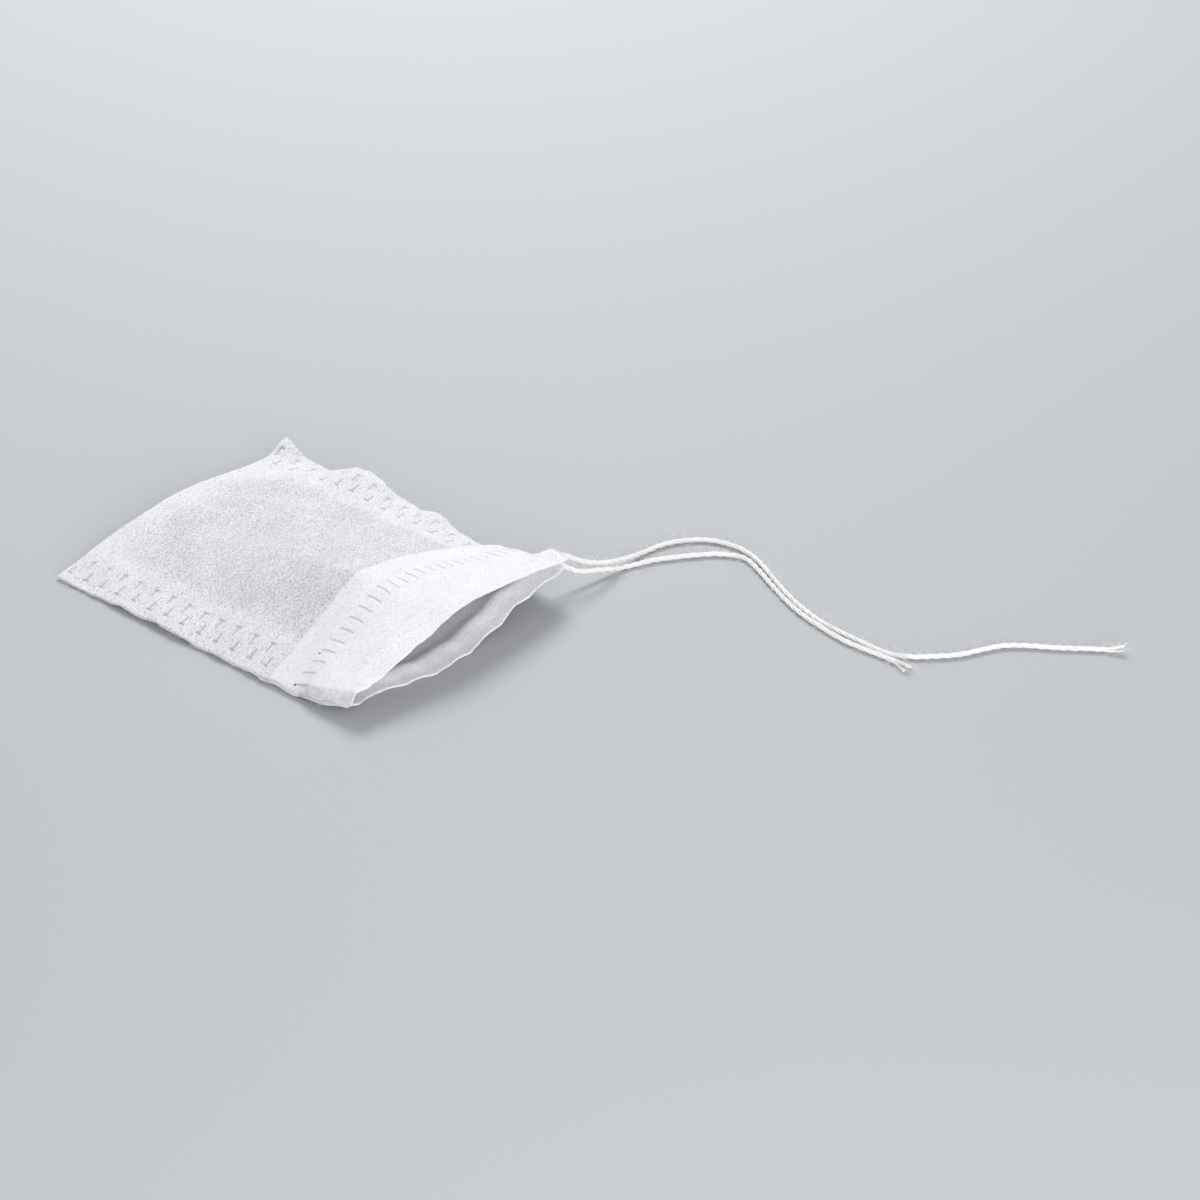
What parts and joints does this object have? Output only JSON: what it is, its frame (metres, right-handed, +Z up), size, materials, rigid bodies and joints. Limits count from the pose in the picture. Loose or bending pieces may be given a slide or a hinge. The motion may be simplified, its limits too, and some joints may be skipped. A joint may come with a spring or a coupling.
{
  "type": "tea filter bag",
  "caption": "Empty flat filter bag of white non-woven sheet with a closed fold, welded sides, a double hem at the open mouth and a cotton drawstring that leaves at a corner.",
  "frame": {"origin": "on the table, under the centre of the bag's outline", "axes": "+X from the closed fold towards the open mouth, +Y from the front side towards the side where the string leaves, +Z up"},
  "size_m": [0.1511, 0.0991, 0.0114],
  "materials": {
    "nonwoven_sheet": "thin white non-woven sheet, matt, fibrous, slightly see-through",
    "cotton_string": "twisted white cotton string, matt, slightly fuzzy"
  },
  "bodies": {
    "root": {"filter_bag": "nonwoven_sheet", "drawstring": "cotton_string"}
  },
  "joints": []
}
